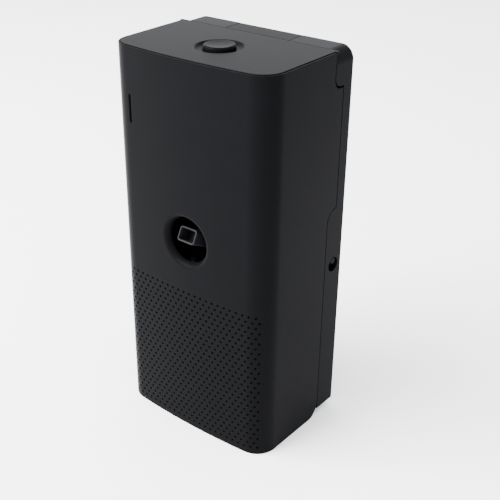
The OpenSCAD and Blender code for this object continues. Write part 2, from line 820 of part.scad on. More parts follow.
module gearbox_screws() {
  color(steel) for (place = post_places)
    screw_back(0.95, 8, place[0], plate_y, place[1]);
}

module motor_can() {
  can_front = plate_y - motor_len;
  color(steel) difference() {
    union() {
      intersection() {
        rod_y(motor_r, can_front, plate_y, gear_x, motor_z);
        block(gear_x - motor_r, gear_x + motor_r, can_front, plate_y,
              motor_z - motor_flat, motor_z + motor_flat);
      }
      rod_y(3, plate_y - 0.5, plate_y + 1.5, gear_x, motor_z);
    }
    intersection() {
      rod_y(motor_r - motor_wall, can_front - 1, plate_y - motor_wall, gear_x, motor_z);
      block(gear_x - motor_r, gear_x + motor_r, can_front - 1, plate_y - motor_wall,
            motor_z - motor_flat + motor_wall, motor_z + motor_flat - motor_wall);
    }
    rod_y(axle_r + run_play, plate_y - 3, plate_y + 3, gear_x, motor_z);
  }
}

module motor_endcap() {
  back = plate_y - motor_len;
  color([0.88, 0.88, 0.85]) difference() {
    intersection() {
      rod_y(motor_r, back - endcap_t, back, gear_x, motor_z);
      block(gear_x - motor_r, gear_x + motor_r, back - endcap_t, back,
            motor_z - motor_flat, motor_z + motor_flat);
    }
    rod_y(axle_r + run_play, back - 1.5, back + 1, gear_x, motor_z);
  }
  color(brass) for (side = [-1, 1])
    block(gear_x + side * 6 - 1, gear_x + side * 6 + 1, back - endcap_t - 2.5, back - endcap_t,
          motor_z - 0.3, motor_z + 0.3);
}

module motor_rotor() {
  back = plate_y - motor_len;
  color([0.5, 0.3, 0.2]) union() {
    rod_y(axle_r, back - 1.3, layer_1 + wheel_t, gear_x, motor_z);
    rod_y(6, back + 5, plate_y - 4, gear_x, motor_z);
    rod_y(2.6, back + 1.5, back + 5.1, gear_x, motor_z);
  }
}

module motor_leads() {
  back = plate_y - motor_len - endcap_t;
  over = motor_z + 11;
  for (side = [-1, 1]) {
    lift = side * 0.9;
    color(side > 0 ? "firebrick" : [0.1, 0.1, 0.1])
      tube(smooth([
        [gear_x + side * 6, back - 1.6, motor_z + 0.4], [gear_x + side * 6, back - 1.8, motor_z + 5],
        [gear_x - 1 + side * 5, back - 1, motor_z + 9.4], [gear_x - 4 + side * 4, back + 4, over + lift],
        [gear_x - 14, back + 10, over + lift],
        [0, plate_y - 9, over + lift], [-16, plate_y - 9, over + lift],
        [board_right + 1.5, board_y + 7, board_top - 5 + lift],
        [board_right - 3, board_y + 5, board_top - 9 + lift * 1.5],
        [board_right - 5, board_y + board_t + 0.5, board_top - 12 + lift * 1.5]
      ]), 0.6);
  }
}

// ---------- batteries ----------

// Cell 0 stands with its nub up, cell 1 with its nub down
module battery_cells() {
  for (i = [0, 1]) {
    low = bay_bottom + contact_t + (i == 0 ? cell_spring_h : nub_h);
    color([0.2, 0.28, 0.5]) rod_z(cell_r, low, low + cell_h, cell_x[i], cell_y);
    color(steel) rod_z(nub_r, i == 0 ? low + cell_h : low - nub_h, i == 0 ? low + cell_h + nub_h : low,
                       cell_x[i], cell_y);
  }
}

module battery_springs() {
  color(steel) for (i = [0, 1])
    translate([cell_x[i], cell_y, i == 0 ? bay_bottom + contact_t : bay_top - contact_t])
      mirror([0, 0, i]) spring(4.4, 2.6, cell_spring_h, 3.5, 0.35);
}

module battery_plates() {
  color(steel) {
    for (i = [0, 1], end = [0, 1]) {
      z = end == 0 ? bay_bottom : bay_top - contact_t;
      block(cell_x[i] - 5.5, cell_x[i] + 5.5, cell_y - 6, cell_y + 7, z, z + contact_t);
    }
    // strip that joins the two upper contacts
    block(cell_x[0] + 5, cell_x[1] - 5, cell_y + 3, cell_y + 7, bay_top - contact_t, bay_top);
  }
}

module battery_leads() {
  for (i = [0, 1])
    color(i == 0 ? [0.1, 0.1, 0.1] : "firebrick")
      tube(smooth([
        [cell_x[i] - 4, cell_y - 6.7, bay_bottom + 0.9], [cell_x[i] - 6, cell_y - 10, bay_bottom + 2],
        [bay_left + 4 + i * 2, board_y + 8, bay_bottom + 4 + i * 2],
        [bay_left - 2.5, board_y + 6, bay_bottom + 6 + i * 2],
        [board_right - 5, board_y + 4.5, board_bottom + 8 + i * 3],
        [board_right - 7, board_y + board_t + 0.5, board_bottom + 9 + i * 3]
      ]), 0.6);
}

// ---------- circuit board ----------

module circuit_board() {
  color([0.1, 0.35, 0.2]) difference() {
    block(board_left, board_right, board_y, board_y + board_t, board_bottom, board_top);
    for (place = board_screw_places)
      rod_y(1.1, board_y - 1, board_y + board_t + 1, place[0], place[1]);
  }
}

module board_screws() {
  color(steel) for (place = board_screw_places)
    screw_back(0.85, 7, place[0], board_y, place[1]);
}

module control_chip() {
  mid = (board_left + board_right) / 2;
  color([0.08, 0.08, 0.09]) union() {
    block(mid - 2.2, mid + 2.2, board_y + board_t + 0.3, board_y + board_t + 1.8, mode_z + 6, mode_z + 15);
    for (side = [-1, 1], k = [0 : 6])
      block(mid + side * 2.8 - 0.8, mid + side * 2.8 + 0.8, board_y + board_t, board_y + board_t + 0.8,
            mode_z + 6.7 + k * 1.27 - 0.2, mode_z + 6.7 + k * 1.27 + 0.2);
  }
}

module board_capacitor() {
  color([0.15, 0.15, 0.2])
    rod_y(3.1, board_y + board_t, board_y + board_t + 9, board_left + 7, board_bottom + 13);
}

module status_led() {
  z = slot_z + 4;
  color([0.3, 0.75, 0.35]) union() {
    rod_y(1.9, board_y - 1, board_y, slot_x, z);
    rod_y(1.5, board_y - 4, board_y - 0.9, slot_x, z);
    translate([slot_x, board_y - 4, z]) sphere(r = 1.5);
  }
}

module light_sensor() {
  color([0.75, 0.4, 0.25])
    rod_y(2.5, board_y - 2.2, board_y, slot_x, slot_z + 11);
}

// Two slide switches: knobs move up and down in their slots
module switch_bodies() {
  color(steel) for (z = [power_z, mode_z]) {
    travel = z == power_z ? 2.5 : 4;
    difference() {
      block(slot_x - 3, slot_x + 3, board_y - 3.6, board_y, z - 4.5, z + 4.5 + travel);
      block(slot_x - knob_w / 2 - 0.15, slot_x + knob_w / 2 + 0.15, board_y - 4, board_y - 1,
            z - knob_h / 2 - 0.2, z + knob_h / 2 + travel + 0.2);
    }
  }
}

module knob(z) {
  color([0.12, 0.12, 0.13])
    block(slot_x - knob_w / 2, slot_x + knob_w / 2, board_y - 6.6, board_y - 1.2,
          z - knob_h / 2, z + knob_h / 2);
}

module power_slider() {
  knob(power_z);
}

module mode_slider() {
  knob(mode_z);
}

rear_shell();
latch_keeper();
chassis();
chassis_screws();
hinge_pins();
front_shell();
top_cap();
sensor_lens();
latch_bracket();
bracket_screws();
release_button();
latch_arm();
arm_screw();
button_spring();
refill_can();
valve_cup();
valve_stem();
spray_head();
press_lever();
gear_stage_1();
gear_stage_2();
motor_pinion();
gear_axles();
gearbox_cover();
gearbox_screws();
motor_can();
motor_endcap();
motor_rotor();
motor_leads();
battery_cells();
battery_springs();
battery_plates();
battery_leads();
circuit_board();
board_screws();
control_chip();
board_capacitor();
status_led();
light_sensor();
switch_bodies();
power_slider();
mode_slider();
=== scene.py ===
import json
import math

import bmesh
import bpy
from mathutils import Matrix, Vector


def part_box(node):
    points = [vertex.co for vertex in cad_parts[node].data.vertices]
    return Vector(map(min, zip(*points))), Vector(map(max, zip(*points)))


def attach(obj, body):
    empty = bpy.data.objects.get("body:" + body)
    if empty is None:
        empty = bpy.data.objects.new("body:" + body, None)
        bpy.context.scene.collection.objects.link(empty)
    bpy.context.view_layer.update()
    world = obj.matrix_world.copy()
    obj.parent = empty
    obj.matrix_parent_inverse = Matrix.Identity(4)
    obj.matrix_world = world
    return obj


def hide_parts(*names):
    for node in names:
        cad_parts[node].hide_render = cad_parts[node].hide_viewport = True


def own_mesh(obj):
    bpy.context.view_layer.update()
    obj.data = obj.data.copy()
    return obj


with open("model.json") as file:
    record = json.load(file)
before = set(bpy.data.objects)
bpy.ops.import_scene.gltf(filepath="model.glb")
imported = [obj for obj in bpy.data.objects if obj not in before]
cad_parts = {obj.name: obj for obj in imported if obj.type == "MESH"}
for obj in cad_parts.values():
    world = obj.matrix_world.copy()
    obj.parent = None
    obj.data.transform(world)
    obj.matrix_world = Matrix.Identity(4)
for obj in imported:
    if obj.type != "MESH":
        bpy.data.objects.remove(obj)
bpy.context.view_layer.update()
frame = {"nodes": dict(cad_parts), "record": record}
NODES = frame["nodes"]
MM = 0.001


def box_mm(node):
    """Lowest and highest corner of a CAD node, in millimetres."""
    lo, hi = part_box(node)
    return lo / MM, hi / MM


# ---------- sizes, in millimetres ----------

# Cover, from its CAD node
cover_lo, cover_hi = box_mm("front_shell")
HALF_W = cover_hi.x
FRONT_Y = cover_lo.y
COVER_TOP = cover_hi.z
STRIP_Y = cover_hi.y
WALL = 2.2
BOW = 2.85
CORNER_R = 12.6
TOP_EDGE = 0.15
BOTTOM_EDGE = 0.5

# Its rear edge, round at the hinge and notched for the rear shell's ears
SEAM_Y = STRIP_Y - 7.6
HINGE_R = 9.0
HINGE_Y = SEAM_Y - HINGE_R
LOWER_NOTCH_TOP = 131.4
LOWER_NOTCH_R = 7.9
TAB_TOP = 196.0
UPPER_NOTCH_R = 5.4

# Top plate, inside the rim that the cover's thin upper edge makes round it
cap_lo, cap_hi = box_mm("top_cap")
CAP_T = 2.6
CAP_EDGE = 0.25
CAP_REAR = cap_hi.y + 0.3
EAR_Y = SEAM_Y + 0.4
RIM_T = 0.8
RIM_GROOVE = 0.3
LEDGE_Z = cap_lo.z

# Plan of the cover: a bowed front that runs into round corners and straight sides
BOW_R = (HALF_W ** 2 + BOW ** 2) / (2 * BOW)
BOW_Y = FRONT_Y + BOW_R
CORNER_X = HALF_W - CORNER_R
CORNER_Y = BOW_Y - math.sqrt((BOW_R - CORNER_R) ** 2 - CORNER_X ** 2)
BOW_ANGLE = math.asin(CORNER_X / (BOW_R - CORNER_R))
BOW_LEN = BOW_R * BOW_ANGLE
CORNER_END = BOW_LEN + CORNER_R * (math.pi / 2 - BOW_ANGLE)
SIDE_LEN = STRIP_Y - CORNER_Y
WALK_END = CORNER_END + SIDE_LEN
CORNER_STEP = 1.5
SIDE_STEP = 6.5

# Dimples, each in a patch of DOT_STEPS by DOT_STEPS quads
# A profile gives pairs of radius and depth, from the skin inwards
DOT_PITCH = 3.9
DOT_RISE = 3.1
DOT_COLUMNS = 25
DOT_ROWS = 28
DOT_BOTTOM = 4.6
DOT_STEPS = 4
DOT_PROFILE = [(0.95, 0), (0.82, 0.05), (0.73, 0.2), (0.64, 0.7), (0.4, 1.0)]

# Spray port: its lip, its throat, then back along the outside of its collar, which hides the inner skin's cut
PORT_Z = 119.0
PORT_PATCH = DOT_PITCH / DOT_STEPS * 18
PORT_INNER_CUT = 13.55
PORT_PROFILE = [
    (16.0, 0), (15.4, 0.03), (14.9, 0.12), (14.4, 0.35), (14.0, 0.66), (13.65, 1.05), (13.3, 1.55),
    (12.95, 2.2), (12.75, 2.8), (12.7, 3.5), (12.8, 3.72), (13.1, 3.8), (14.1, 3.8), (14.5, 3.4), (14.5, 2)
]

# Slot in front of the lens
slot_lo, slot_hi = box_mm("sensor_lens")
LENS_OVERLAP = 1.5
SLOT_X = -36.7
SLOT_Z0 = slot_lo.z + LENS_OVERLAP
SLOT_Z1 = slot_hi.z - LENS_OVERLAP
SLOT_R = 0.7
SLOT_PATCH_X = 1.3
SLOT_PATCH_Z = 2.5
SLOT_PROFILE = [(1.05, 0), (0.85, 0.06), (0.72, 0.22), (SLOT_R, 0.5), (SLOT_R, 2.3)]

# Button, its dish and its spring
button_lo, button_hi = box_mm("release_button")
spring_lo, spring_hi = box_mm("button_spring")
BUTTON_Y = (button_lo.y + button_hi.y) / 2
BUTTON_R = 8.2
BUTTON_EDGE = 1.1
FLANGE_Z = 210.4
DISH_R = 12.4
DISH_DEPTH = 1.4

# Spray head and its spout, which tilts up towards the port
head_lo, head_hi = box_mm("spray_head")
HEAD_R = 9.0
HEAD_Y = head_hi.y - HEAD_R
SPOUT_W = 11.4
SPOUT_H = 8.0
SPOUT_WALL = 0.85
SPOUT_LEN = 24
SPOUT_BORE = 9
SPOUT_TILT = math.radians(27)
SPOUT_MOUTH = Vector((0, FRONT_Y + 1.7, PORT_Z + 3.3))
SPOUT_BACK = Vector((0, math.cos(SPOUT_TILT), -math.sin(SPOUT_TILT)))
SPOUT_UP = Vector((0, math.sin(SPOUT_TILT), math.cos(SPOUT_TILT)))

# Shading: edges sharper than SHARP_ANGLE stay sharp, and those over ROUNDED_ANGLE can be softened
SHARP_ANGLE = math.radians(50)
ROUNDED_ANGLE = math.radians(30)
FLAT_ANGLE = math.radians(0.4)
WELD_M = 2e-6


# ---------- mesh helpers ----------

def arc(steps, start=0, end=90):
    """Evenly spaced angles in radians, both ends included."""
    return [math.radians(start + (end - start) * k / steps) for k in range(steps + 1)]


def rounding(radius, steps):
    """Steps round a quarter circle: how far it is drawn in, and how far below the flat it still is."""
    return [(radius * (1 - math.cos(a)), radius * (1 - math.sin(a))) for a in arc(steps)]


def add_piece(mesh, weighted=True):
    """Shows a mesh as a piece of the same name, shaded smooth between its sharp edges."""
    mesh.shade_smooth()
    mesh.set_sharp_from_angle(angle=SHARP_ANGLE)
    piece = bpy.data.objects.new(mesh.name, mesh)
    bpy.context.scene.collection.objects.link(piece)
    if weighted:
        piece.modifiers.new("even_shading", "WEIGHTED_NORMAL").keep_sharp = True
    return piece


def place(piece, body, node, material):
    """Gives a new piece its material, its body and the CAD node that it stands for."""
    piece.data.materials.append(material)
    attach(piece, body)
    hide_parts(node)


class Shape:
    """Points and faces that are gathered before they become one mesh."""

    def __init__(self):
        self.points = []
        self.faces = []

    def add(self, point):
        self.points.append(Vector(point))
        return len(self.points) - 1

    def loop(self, points):
        return [self.add(p) for p in points]

    def band(self, a, b, closed=True):
        """Quads between two loops of the same length."""
        count = len(a)
        for i in range(count if closed else count - 1):
            j = (i + 1) % count
            self.faces.append((a[i], a[j], b[j], b[i]))

    def loft(self, loops, cap_start=False, cap_end=False):
        """Skin over loops of points, closed round, with flat ends where asked."""
        rings = [self.loop(points) for points in loops]
        for a, b in zip(rings, rings[1:]):
            self.band(a, b)
        if cap_start:
            self.faces.append(tuple(reversed(rings[0])))
        if cap_end:
            self.faces.append(tuple(rings[-1]))
        return rings

    def lathe(self, profile, origin, axis, sides=64, **caps):
        """Turns a profile of (radius, height) about an axis through origin."""
        z = Vector(axis).normalized()
        x = Vector((1, 0, 0)) if abs(z.x) < 0.9 else Vector((0, 1, 0))
        x = (x - z * x.dot(z)).normalized()
        y = z.cross(x)
        turns = [2 * math.pi * k / sides for k in range(sides)]
        loops = [
            [Vector(origin) + z * h + (x * math.cos(a) + y * math.sin(a)) * r for a in turns]
            for r, h in profile
        ]
        return self.loft(loops, **caps)

    def piece(self, name, weighted=True):
        mesh = bpy.data.meshes.new(name)
        mesh.from_pydata([p * MM for p in self.points], [], self.faces)
        mesh.validate()
        return add_piece(mesh, weighted)


# ---------- cover ----------

def seam_edge(z):
    """Y of the cover's rear edge at height z: round at the hinge, notched for the rear shell's ears."""
    if z < HINGE_R:
        return HINGE_Y + math.sqrt(HINGE_R ** 2 - (HINGE_R - z) ** 2)
    if z <= LOWER_NOTCH_TOP:
        up = max(0.0, z - (LOWER_NOTCH_TOP - LOWER_NOTCH_R))
        return min(STRIP_Y, SEAM_Y + LOWER_NOTCH_R - math.sqrt(max(0.0, LOWER_NOTCH_R ** 2 - up ** 2)))
    if z <= TAB_TOP:
        return STRIP_Y
    up = max(0.0, TAB_TOP + UPPER_NOTCH_R - z)
    return SEAM_Y + UPPER_NOTCH_R - math.sqrt(max(0.0, UPPER_NOTCH_R ** 2 - up ** 2))


def plan_point(walk, depth, edge, back=0.0):
    """Plan position at a walk from the middle of the front, at a depth under the skin.
    Past the corners the walk is shared out up to the rear edge, less back."""
    side = math.copysign(1, walk)
    along = abs(walk)
    if along <= BOW_LEN:
        a = along / BOW_R
        return side * (BOW_R - depth) * math.sin(a), BOW_Y - (BOW_R - depth) * math.cos(a)
    if along <= CORNER_END:
        a = BOW_ANGLE + (along - BOW_LEN) / CORNER_R
        return (side * (CORNER_X + (CORNER_R - depth) * math.sin(a)),
                CORNER_Y - (CORNER_R - depth) * math.cos(a))
    share = (along - CORNER_END) / SIDE_LEN
    return side * (HALF_W - depth), CORNER_Y + share * (edge - back - CORNER_Y)


def spread(start, end, step):
    """Values from start up to end in equal steps no longer than step, the end left out."""
    count = max(1, math.ceil((end - start) / step - 1e-6))
    return [start + (end - start) * k / count for k in range(count)]


def cover_columns():
    """Walks round the outside from the left rear edge to the right one."""
    dot_end = DOT_PITCH * DOT_COLUMNS / 2
    half = spread(dot_end, CORNER_END, CORNER_STEP) + spread(CORNER_END, WALK_END, SIDE_STEP) + [WALK_END]
    middle = [DOT_PITCH / DOT_STEPS * k - dot_end for k in range(DOT_STEPS * DOT_COLUMNS + 1)]
    return [-w for w in reversed(half[1:])] + middle + half[1:]


def cover_rows():
    """Heights of the rows of points up the cover."""
    dot_low = DOT_BOTTOM - DOT_RISE / 2
    dot_high = dot_low + DOT_RISE * DOT_ROWS
    port_low = PORT_Z - PORT_PATCH
    port_high = PORT_Z + PORT_PATCH
    slot_low = SLOT_Z0 - SLOT_PATCH_Z
    slot_high = SLOT_Z1 + SLOT_PATCH_Z
    ledge = LEDGE_Z - 0.01
    # Start, end and widest spacing of each span of the height
    spans = [
        (dot_low, dot_high, DOT_RISE / DOT_STEPS),
        (dot_high, port_low, 3),
        (port_low, port_high, DOT_PITCH / DOT_STEPS),
        (port_high, slot_low, 6),
        (slot_low, slot_high, 1.95),
        (slot_high, TAB_TOP, 3),
        (TAB_TOP + UPPER_NOTCH_R, ledge, 5),
    ]
    rows = [BOTTOM_EDGE, 0.9, 1.5, 2.2]
    for start, end, step in spans:
        rows += spread(start, end, step)
    rows += [LOWER_NOTCH_TOP + up for up in (-0.7, -0.25, 0, 0.02)]
    rows += [TAB_TOP + up for up in (0, 0.02, 0.3, 1, 2, 3.5)]
    rows += [ledge, LEDGE_Z, LEDGE_Z + 0.8, COVER_TOP - 0.6, COVER_TOP - TOP_EDGE]
    return sorted(set(round(z, 4) for z in rows))


class Cover(Shape):
    """Front shell as a skin over columns (walks round the plan) and rows (heights)."""

    def __init__(self):
        super().__init__()
        self.columns = cover_columns()
        rows = cover_rows()
        rim = rounding(TOP_EDGE, 3)[1:]
        levels = [(drop, shrink) for shrink, drop in reversed(rounding(BOTTOM_EDGE, 3))]
        levels += [(z, 0) for z in rows[1:]]
        levels += [(COVER_TOP - drop, shrink) for shrink, drop in rim]
        self.heights = [z for z, shrink in levels]
        self.count = len(self.columns)
        outer = [(w, 0, TOP_EDGE) for w in self.columns]
        right = [(WALK_END, d, b) for d, b in rim]
        right += [(WALK_END, WALL - d, b) for d, b in reversed(rim)]
        inner = [(w, WALL, TOP_EDGE) for w in reversed(self.columns)]
        left = [(-w, d, b) for w, d, b in reversed(right)]
        self.section = outer + right + inner + left
        self.inner_start = self.count + len(right)
        self.rows = [self.loop(self.level(z, shrink)) for z, shrink in levels]

    def level(self, z, shrink):
        """The closed section at one height; shrink draws both skins in at a rounded rim."""
        wall = WALL if z < LEDGE_Z - 0.005 else RIM_T
        edge = seam_edge(z)
        for walk, depth, back in self.section:
            d = min(max(depth, shrink), wall - shrink)
            x, y = plan_point(walk, d, edge, back)
            yield (x, y, z)

    def row_at(self, z):
        return min(range(len(self.heights)), key=lambda j: abs(self.heights[j] - z))

    def column_at(self, walk):
        return min(range(self.count), key=lambda i: abs(self.columns[i] - walk))

    def patch(self, walk, half, low, high):
        """Grid columns and rows nearest to half either side of a walk, and to two heights."""
        return self.column_at(walk - half), self.column_at(walk + half), self.row_at(low), self.row_at(high)

    def skin(self, holes):
        """All quads of the section's walls, apart from those inside the holes."""
        around = len(self.section)
        inside = range(self.inner_start, self.inner_start + self.count - 1)
        for j in range(len(self.rows) - 1):
            low, high = self.rows[j], self.rows[j + 1]
            z = (self.heights[j] + self.heights[j + 1]) / 2
            for i in range(around):
                k = (i + 1) % around
                walk = (self.section[i][0] + self.section[k][0]) / 2
                if any(i0 <= i < i1 and j0 <= j < j1 for i0, i1, j0, j1 in holes):
                    continue
                if i in inside and math.hypot(walk, z - PORT_Z) < PORT_INNER_CUT:
                    continue
                self.faces.append((low[i], low[k], high[k], high[i]))

    def rims(self):
        """Flat faces between the outer and inner skin at the bottom and the top."""
        around = len(self.section)
        inner_end = self.inner_start + self.count - 1
        for row, flip in ((self.rows[0], True), (self.rows[-1], False)):
            quads = []
            for i in range(self.count - 1):
                j = inner_end - i
                quads.append((row[i], row[i + 1], row[j - 1], row[j]))
            quads.append(tuple(row[self.count - 1:self.inner_start + 1]))
            quads.append(tuple(row[i % around] for i in range(inner_end, around + 1)))
            self.faces += [tuple(reversed(q)) for q in quads] if flip else quads

    def punch(self, hole, low, high, walk, profile, closed):
        """Fills the hole in the grid with rings that lead to a round or long opening from low to high."""
        i0, i1, j0, j1 = hole
        border = [(i, j0) for i in range(i0, i1)] + [(i1, j) for j in range(j0, j1)]
        border += [(i, j1) for i in range(i1, i0, -1)] + [(i0, j) for j in range(j1, j0, -1)]
        previous = [self.rows[j][i] for i, j in border]
        rays = []
        for i, j in border:
            z = self.heights[j]
            centre = Vector((walk, min(max(z, low), high)))
            rays.append((centre, (Vector((self.columns[i], z)) - centre).normalized()))
        for radius, depth in profile:
            ring = []
            for centre, ray in rays:
                s, z = centre + ray * radius
                x, y = plan_point(s, depth, STRIP_Y)
                ring.append(self.add((x, y, z)))
            self.band(previous, ring)
            previous = ring
        if closed:
            self.faces.append(tuple(previous))


def add_cover_inside(shape):
    """Floor of the cover and the bosses that turn on the hinge pins."""
    def floor_loop(shrink, z):
        inset = WALL - 0.05 + shrink
        walks = [CORNER_END * (k / 40 - 1) for k in range(81)]
        plan = [plan_point(w, inset, STRIP_Y) for w in walks]
        plan += [(HALF_W - inset, HINGE_Y + 1), (inset - HALF_W, HINGE_Y + 1)]
        return [(x, y, z) for x, y in plan]

    soft = 0.2
    boss_sink = 0.3
    shape.loft([floor_loop(0, 0), floor_loop(0, WALL - soft)], cap_start=True)
    shape.loft([floor_loop(0, WALL - soft), floor_loop(soft, WALL)], cap_end=True)
    # Radius and height of a boss, from its foot round to the bore for the pin
    boss = [(4.2, 0), (4.2, 2.3), (4.0, 2.5), (2.25, 2.5), (2.05, 2.3), (2.05, 0)]
    for side in (-1, 1):
        shape.lathe(boss, (side * (HALF_W - WALL + boss_sink), HINGE_Y, HINGE_R), (-side, 0, 0), sides=40)


def add_dimples(cover):
    """Staggered rows of blind dimples; gives back their patches of the grid."""
    rows = [cover.row_at(DOT_BOTTOM + DOT_RISE * (k - 0.5)) for k in range(DOT_ROWS + 1)]
    first = cover.column_at(-DOT_PITCH * DOT_COLUMNS / 2)
    patches = []
    for k in range(DOT_ROWS):
        z = DOT_BOTTOM + DOT_RISE * k
        odd = k % 2
        for n in range(DOT_COLUMNS - odd):
            i0 = first + DOT_STEPS // 2 * odd + DOT_STEPS * n
            i1 = i0 + DOT_STEPS
            walk = (cover.columns[i0] + cover.columns[i1]) / 2
            patches.append((i0, i1, rows[k], rows[k + 1]))
            cover.punch(patches[-1], z, z, walk, DOT_PROFILE, True)
    return patches


def build_cover():
    """Cover with its dimples, spray port, slot, floor and hinge bosses."""
    cover = Cover()
    holes = add_dimples(cover)
    port = cover.patch(0, PORT_PATCH, PORT_Z - PORT_PATCH, PORT_Z + PORT_PATCH)
    cover.punch(port, PORT_Z, PORT_Z, 0, PORT_PROFILE, False)
    slot_walk = BOW_R * math.asin(SLOT_X / BOW_R)
    slot = cover.patch(slot_walk, SLOT_PATCH_X, SLOT_Z0 - SLOT_PATCH_Z, SLOT_Z1 + SLOT_PATCH_Z)
    cover.punch(slot, SLOT_Z0 + SLOT_R, SLOT_Z1 - SLOT_R, slot_walk, SLOT_PROFILE, False)
    cover.skin(holes + [port, slot])
    cover.rims()
    add_cover_inside(cover)
    return cover.piece("cover_shell")


# ---------- top plate, button and spray head ----------

def cap_outline(inset, ear_inset, ear_y, rear_y):
    """Closed plan of the top plate, inset from the cover's skin, with an inset of its own from ear_y back."""
    walks = [CORNER_END * (k / 60 - 1) for k in range(121)]
    front = [plan_point(w, inset, STRIP_Y) for w in walks]
    side = [(HALF_W - inset, CORNER_Y + (ear_y - CORNER_Y) * k / 14) for k in range(1, 15)]
    ear_x = HALF_W - ear_inset
    side += [(ear_x, ear_y + 0.1), (ear_x, (ear_y + rear_y) / 2), (ear_x, rear_y)]
    rear = [(ear_x - 2 * ear_x * k / 48, rear_y) for k in range(1, 48)]
    return front + side + rear + [(-x, y) for x, y in reversed(side)]


def build_cap():
    """Plate inside the cover's rim, with a shallow dish and the hole that the button passes."""
    shape = Shape()
    top = cap_hi.z
    inset = RIM_T + RIM_GROOVE
    seat = RIM_T + 0.1
    # Inset from the skin, inset of the rear corners and drop from the top, from the underside up
    edge = [(seat, 0.9, CAP_T), (seat, 0.9, 1.35), (inset, 0.2, 1.3), (inset, 0, 1.15), (inset, 0, 0.3)]
    edge += [(inset + shrink, shrink, drop) for shrink, drop in rounding(CAP_EDGE, 4)]
    outlines = [(cap_outline(d, e, EAR_Y + e, CAP_REAR - e), drop) for d, e, drop in edge]
    flat = cap_outline(inset + 0.9, inset + 0.9, EAR_Y + 0.7, CAP_REAR - 0.5)
    outlines.append((flat, 0))
    loops = [[(x, y, top - drop) for x, y in outline] for outline, drop in outlines]
    hole_r = BUTTON_R + 0.22
    # Radius and drop from the flat top down into the dish and through the hole
    dish = [
        (DISH_R + 2.5, 0), (DISH_R + 0.3, 0), (DISH_R + 0.06, 0.04), (DISH_R - 0.15, 0.2),
        (DISH_R - 0.85, 0.95), (DISH_R - 1.2, 1.25), (DISH_R - 1.7, DISH_DEPTH),
        (hole_r + 0.38, DISH_DEPTH), (hole_r + 0.08, DISH_DEPTH + 0.05), (hole_r, DISH_DEPTH + 0.2),
        (hole_r, CAP_T)
    ]
    rays = [Vector((x, y - BUTTON_Y)).normalized() for x, y in flat]
    for radius, drop in dish:
        loops.append([(v.x * radius, BUTTON_Y + v.y * radius, top - drop) for v in rays])
    loops.append(loops[0])
    shape.loft(loops)
    return shape.piece("top_plate")


def build_button():
    """Push button with a rounded rim and a slightly hollow top."""
    shape = Shape()
    top = button_hi.z
    foot = button_lo.z
    flange_r = BUTTON_R + 1.4
    profile = [
        (2.4, foot), (2.4, FLANGE_Z), (6.8, FLANGE_Z), (flange_r - 0.1, FLANGE_Z), (flange_r, FLANGE_Z + 0.1),
        (flange_r, FLANGE_Z + 1.6), (BUTTON_R, FLANGE_Z + 1.7), (BUTTON_R, top - BUTTON_EDGE)
    ]
    profile += [(BUTTON_R - shrink, top - drop) for shrink, drop in rounding(BUTTON_EDGE, 6)]
    hollow = [(6.6, 0.06), (5.4, 0.22), (3.6, 0.36), (1.8, 0.42), (0.5, 0.44)]
    profile += [(radius, top - drop) for radius, drop in hollow]
    shape.lathe(profile, (0, BUTTON_Y, 0), (0, 0, 1), cap_start=True, cap_end=True)
    return shape.piece("push_button")


def build_spring():
    """Coil spring between the bracket and the latch arm."""
    shape = Shape()
    wire = 0.25
    turns = 4.5
    steps = 28
    sides = 10
    coil_r = (spring_hi.x - spring_lo.x) / 2 - wire
    rise = spring_hi.z - spring_lo.z - 2 * wire
    count = round(turns * steps)
    around = [2 * math.pi * n / sides for n in range(sides)]
    loops = []
    for k in range(count + 1):
        a = 2 * math.pi * k / steps
        out = Vector((math.cos(a), math.sin(a), 0))
        centre = Vector((0, BUTTON_Y, spring_lo.z + wire + rise * k / count)) + out * coil_r
        loops.append([centre + wire * (out * math.cos(b) + Vector((0, 0, math.sin(b)))) for b in around])
    shape.loft(loops, cap_start=True, cap_end=True)
    return shape.piece("coil_spring", weighted=False)


def spout_loop(w, h, r, along):
    """Rounded rectangle square to the spout, at a distance back from its mouth."""
    centre = SPOUT_MOUTH + SPOUT_BACK * along
    points = []
    for sx, sz, start in ((1, -1, -90), (1, 1, 0), (-1, 1, 90), (-1, -1, 180)):
        for a in arc(6, start, start + 90):
            x = sx * (w / 2 - r) + r * math.cos(a)
            z = sz * (h / 2 - r) + r * math.sin(a)
            points.append(centre + Vector((x, 0, 0)) + SPOUT_UP * z)
    return points


def build_spray_head():
    """Round head with the hollow spout and the nozzle at the bottom of its bore."""
    shape = Shape()
    low = head_lo.z
    high = head_hi.z
    body = [
        (2.0, low + 3), (2.0, low), (HEAD_R - 0.4, low), (HEAD_R, low + 0.4), (HEAD_R, high - 0.8),
        (HEAD_R - 0.23, high - 0.23), (HEAD_R - 0.8, high), (3, high)
    ]
    shape.lathe(body, (0, HEAD_Y, 0), (0, 0, 1), cap_start=True, cap_end=True)
    # How far the spout's outline is drawn in, its corner radius and its distance back from the mouth
    steps = [(0, 1.6, SPOUT_LEN), (0, 1.6, 0.3)]
    steps += [(shrink, 1.5, drop) for shrink, drop in rounding(0.3, 3)[1:]]
    steps += [(SPOUT_WALL - 0.15, 1.1, 0), (SPOUT_WALL - 0.03, 1.0, 0.12)]
    steps += [(SPOUT_WALL, 1.0, 0.35), (SPOUT_WALL, 1.0, SPOUT_BORE)]
    loops = [spout_loop(SPOUT_W - 2 * shrink, SPOUT_H - 2 * shrink, r, along) for shrink, r, along in steps]
    shape.loft(loops, cap_end=True)
    nozzle = [(1.9, 0), (1.9, 1.2), (1.6, 1.5), (0.5, 1.5), (0.35, 0.6)]
    shape.lathe(nozzle, SPOUT_MOUTH + SPOUT_BACK * (SPOUT_BORE + 0.05), -SPOUT_BACK, sides=32, cap_end=True)
    return shape.piece("spray_spout")


